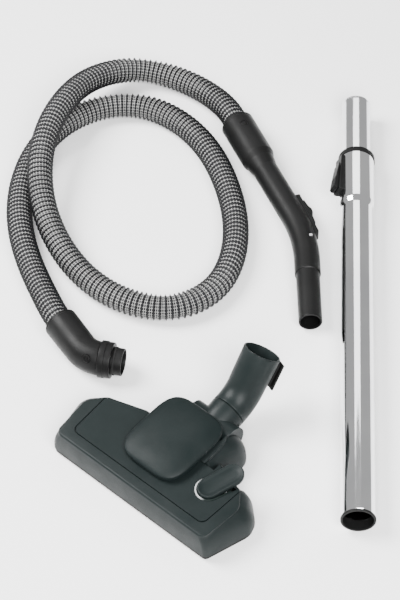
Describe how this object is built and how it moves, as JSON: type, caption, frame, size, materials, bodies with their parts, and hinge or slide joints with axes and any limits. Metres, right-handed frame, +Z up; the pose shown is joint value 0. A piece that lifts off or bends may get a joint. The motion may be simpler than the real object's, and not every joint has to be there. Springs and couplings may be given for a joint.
{
  "type": "vacuum cleaner hose, wand and floor head set",
  "caption": "Vacuum cleaner accessory set: flexible hose with a curved grip and a machine elbow, a telescopic metal wand, and a combination floor head with a swivel neck.",
  "frame": {"origin": "on the floor, below the middle of the set as it lies, measured without the hose", "axes": "+Z up; +Y along the length of the set as it lies, from the floor head's end to the hose's far bend; +X across it, towards the wand"},
  "size_m": [0.5087, 0.8684, 0.1097],
  "materials": {
    "shell_grey": "satin",
    "panel_grey": "satin",
    "grip_black": "satin",
    "trim_black": "matte",
    "bezel_grey": "satin",
    "tube_chrome": "polished",
    "pin_steel": "plain",
    "soft_rubber": "matte",
    "bristle_fibre": "fibre",
    "lint_fabric": "napped",
    "hose_weave": "woven cover"
  },
  "bodies": {
    "floor_head": {"head_shell": "shell_grey", "top_panel": "panel_grey", "sole_plate": "trim_black", "lint_pad_left": "lint_fabric", "lint_pad_right": "lint_fabric", "sole_screw_1": "pin_steel", "sole_screw_2": "pin_steel", "sole_screw_3": "pin_steel", "sole_screw_4": "pin_steel", "air_duct": "trim_black", "cover_plinth": "trim_black", "duct_cover": "panel_grey", "pivot_housing": "shell_grey", "rear_axle_left": "pin_steel", "rear_axle_right": "pin_steel", "pedal_cup": "bezel_grey", "pedal_pin": "pin_steel"},
    "brushes": {"brush_carrier": "trim_black", "front_bristles": "bristle_fibre", "rear_bristles": "bristle_fibre"},
    "pedal": {"pedal": "shell_grey"},
    "knuckle": {"knuckle": "shell_grey", "neck_retainer": "trim_black"},
    "neck": {"neck_tube": "shell_grey", "parking_hook": "trim_black"},
    "rear_wheel_left": {"rear_hub_left": "shell_grey", "rear_tyre_left": "soft_rubber"},
    "rear_wheel_right": {"rear_hub_right": "shell_grey", "rear_tyre_right": "soft_rubber"},
    "roller_left": {"front_roller_left": "trim_black"},
    "roller_right": {"front_roller_right": "trim_black"},
    "wand_outer": {"outer_tube": "tube_chrome", "end_ring": "trim_black", "seal_collar": "trim_black", "latch_housing": "trim_black"},
    "wand_inner": {"inner_tube": "tube_chrome", "mouth_sleeve": "trim_black", "guide_bush": "trim_black"},
    "latch": {"latch_button": "trim_black"},
    "hose": {"hose": "hose_weave"},
    "grip": {"handle_grip": "grip_black", "handle_cuff": "trim_black", "air_valve_rail": "grip_black", "grip_screw": "pin_steel"},
    "lug": {"handle_lug": "grip_black"},
    "air_valve": {"air_valve_slide": "trim_black"},
    "elbow": {"elbow_body": "grip_black", "elbow_cuff": "trim_black", "spigot": "grip_black", "spigot_seal": "soft_rubber"},
    "collar": {"locking_collar": "grip_black"},
    "elbow_button": {"elbow_button": "grip_black"}
  },
  "joints": [
    {"name": "brush_lift", "type": "slide", "parent": "floor_head", "child": "brushes", "axis": [0, 0, 1], "range_m": [0, 0.005]},
    {"name": "pedal_rock", "type": "hinge", "parent": "floor_head", "child": "pedal", "pos_m": [0.00357, -0.30465, 0.043], "axis": [0.4772, -0.8788, 0], "range_deg": [-14, 0]},
    {"name": "neck_tilt", "type": "hinge", "parent": "floor_head", "child": "knuckle", "pos_m": [-0.00694, -0.20538, 0.03], "axis": [0.7455, -0.6665, 0], "range_deg": [-15, 25]},
    {"name": "neck_swivel", "type": "hinge", "parent": "knuckle", "child": "neck", "pos_m": [0.01327, -0.18278, 0.03645], "axis": [0.652, 0.7292, 0.2079], "range_deg": [-90, 90]},
    {"name": "wheel_spin_left", "type": "hinge", "parent": "floor_head", "child": "rear_wheel_left", "pos_m": [-0.04731, -0.18002, 0.012], "axis": [0.7455, -0.6665, 0], "continuous": true},
    {"name": "wheel_spin_right", "type": "hinge", "parent": "floor_head", "child": "rear_wheel_right", "pos_m": [0.02277, -0.24267, 0.012], "axis": [0.7455, -0.6665, 0], "continuous": true},
    {"name": "roller_spin_left", "type": "hinge", "parent": "floor_head", "child": "roller_left", "pos_m": [-0.16901, -0.19461, 0.007], "axis": [0.7455, -0.6665, 0], "continuous": true},
    {"name": "roller_spin_right", "type": "hinge", "parent": "floor_head", "child": "roller_right", "pos_m": [0.00394, -0.34925, 0.007], "axis": [0.7455, -0.6665, 0], "continuous": true},
    {"name": "wand_lift", "type": "slide", "parent": "floor_head", "child": "wand_outer", "axis": [0, 0, 1], "range_m": [0, 0.3]},
    {"name": "wand_extend", "type": "slide", "parent": "wand_outer", "child": "wand_inner", "axis": [0.0426, 0.9991, 0.0044], "range_m": [-0.09, 0.26]},
    {"name": "latch_pull", "type": "slide", "parent": "wand_outer", "child": "latch", "axis": [0.0426, 0.9991, 0.0044], "range_m": [0, 0.006], "stiffness_N_per_m": 400},
    {"name": "hose_lift", "type": "slide", "parent": "floor_head", "child": "hose", "axis": [0, 0, 1], "range_m": [0, 0.3]},
    {"name": "grip_swivel", "type": "hinge", "parent": "hose", "child": "grip", "pos_m": [0.03147, 0.35026, 0.0255], "axis": [0.389, -0.9209, -0.0251], "range_deg": [-100, 15]},
    {"name": "lug_press", "type": "slide", "parent": "grip", "child": "lug", "axis": [-0.0098, 0.0232, -0.9997], "range_m": [0, 0.0013], "stiffness_N_per_m": 600},
    {"name": "air_valve_slide", "type": "slide", "parent": "grip", "child": "air_valve", "axis": [0.332, -0.9429, -0.0251], "range_m": [0, 0.015]},
    {"name": "elbow_swivel", "type": "hinge", "parent": "hose", "child": "elbow", "pos_m": [-0.20353, -0.02374, 0.0248], "axis": [0.5329, -0.8462, 0], "range_deg": [-100, 100]},
    {"name": "collar_turn", "type": "hinge", "parent": "elbow", "child": "collar", "pos_m": [-0.14245, -0.08729, 0.0248], "axis": [0.9763, -0.2164, 0], "range_deg": [0, 28]},
    {"name": "elbow_button_press", "type": "slide", "parent": "elbow", "child": "elbow_button", "axis": [0.3393, 0.6868, -0.6428], "range_m": [0, 0.002], "stiffness_N_per_m": 500}
  ],
  "couplings": [
    {"joint": "pedal_rock", "follows": "brush_lift", "rad_per_m": -48}
  ]
}
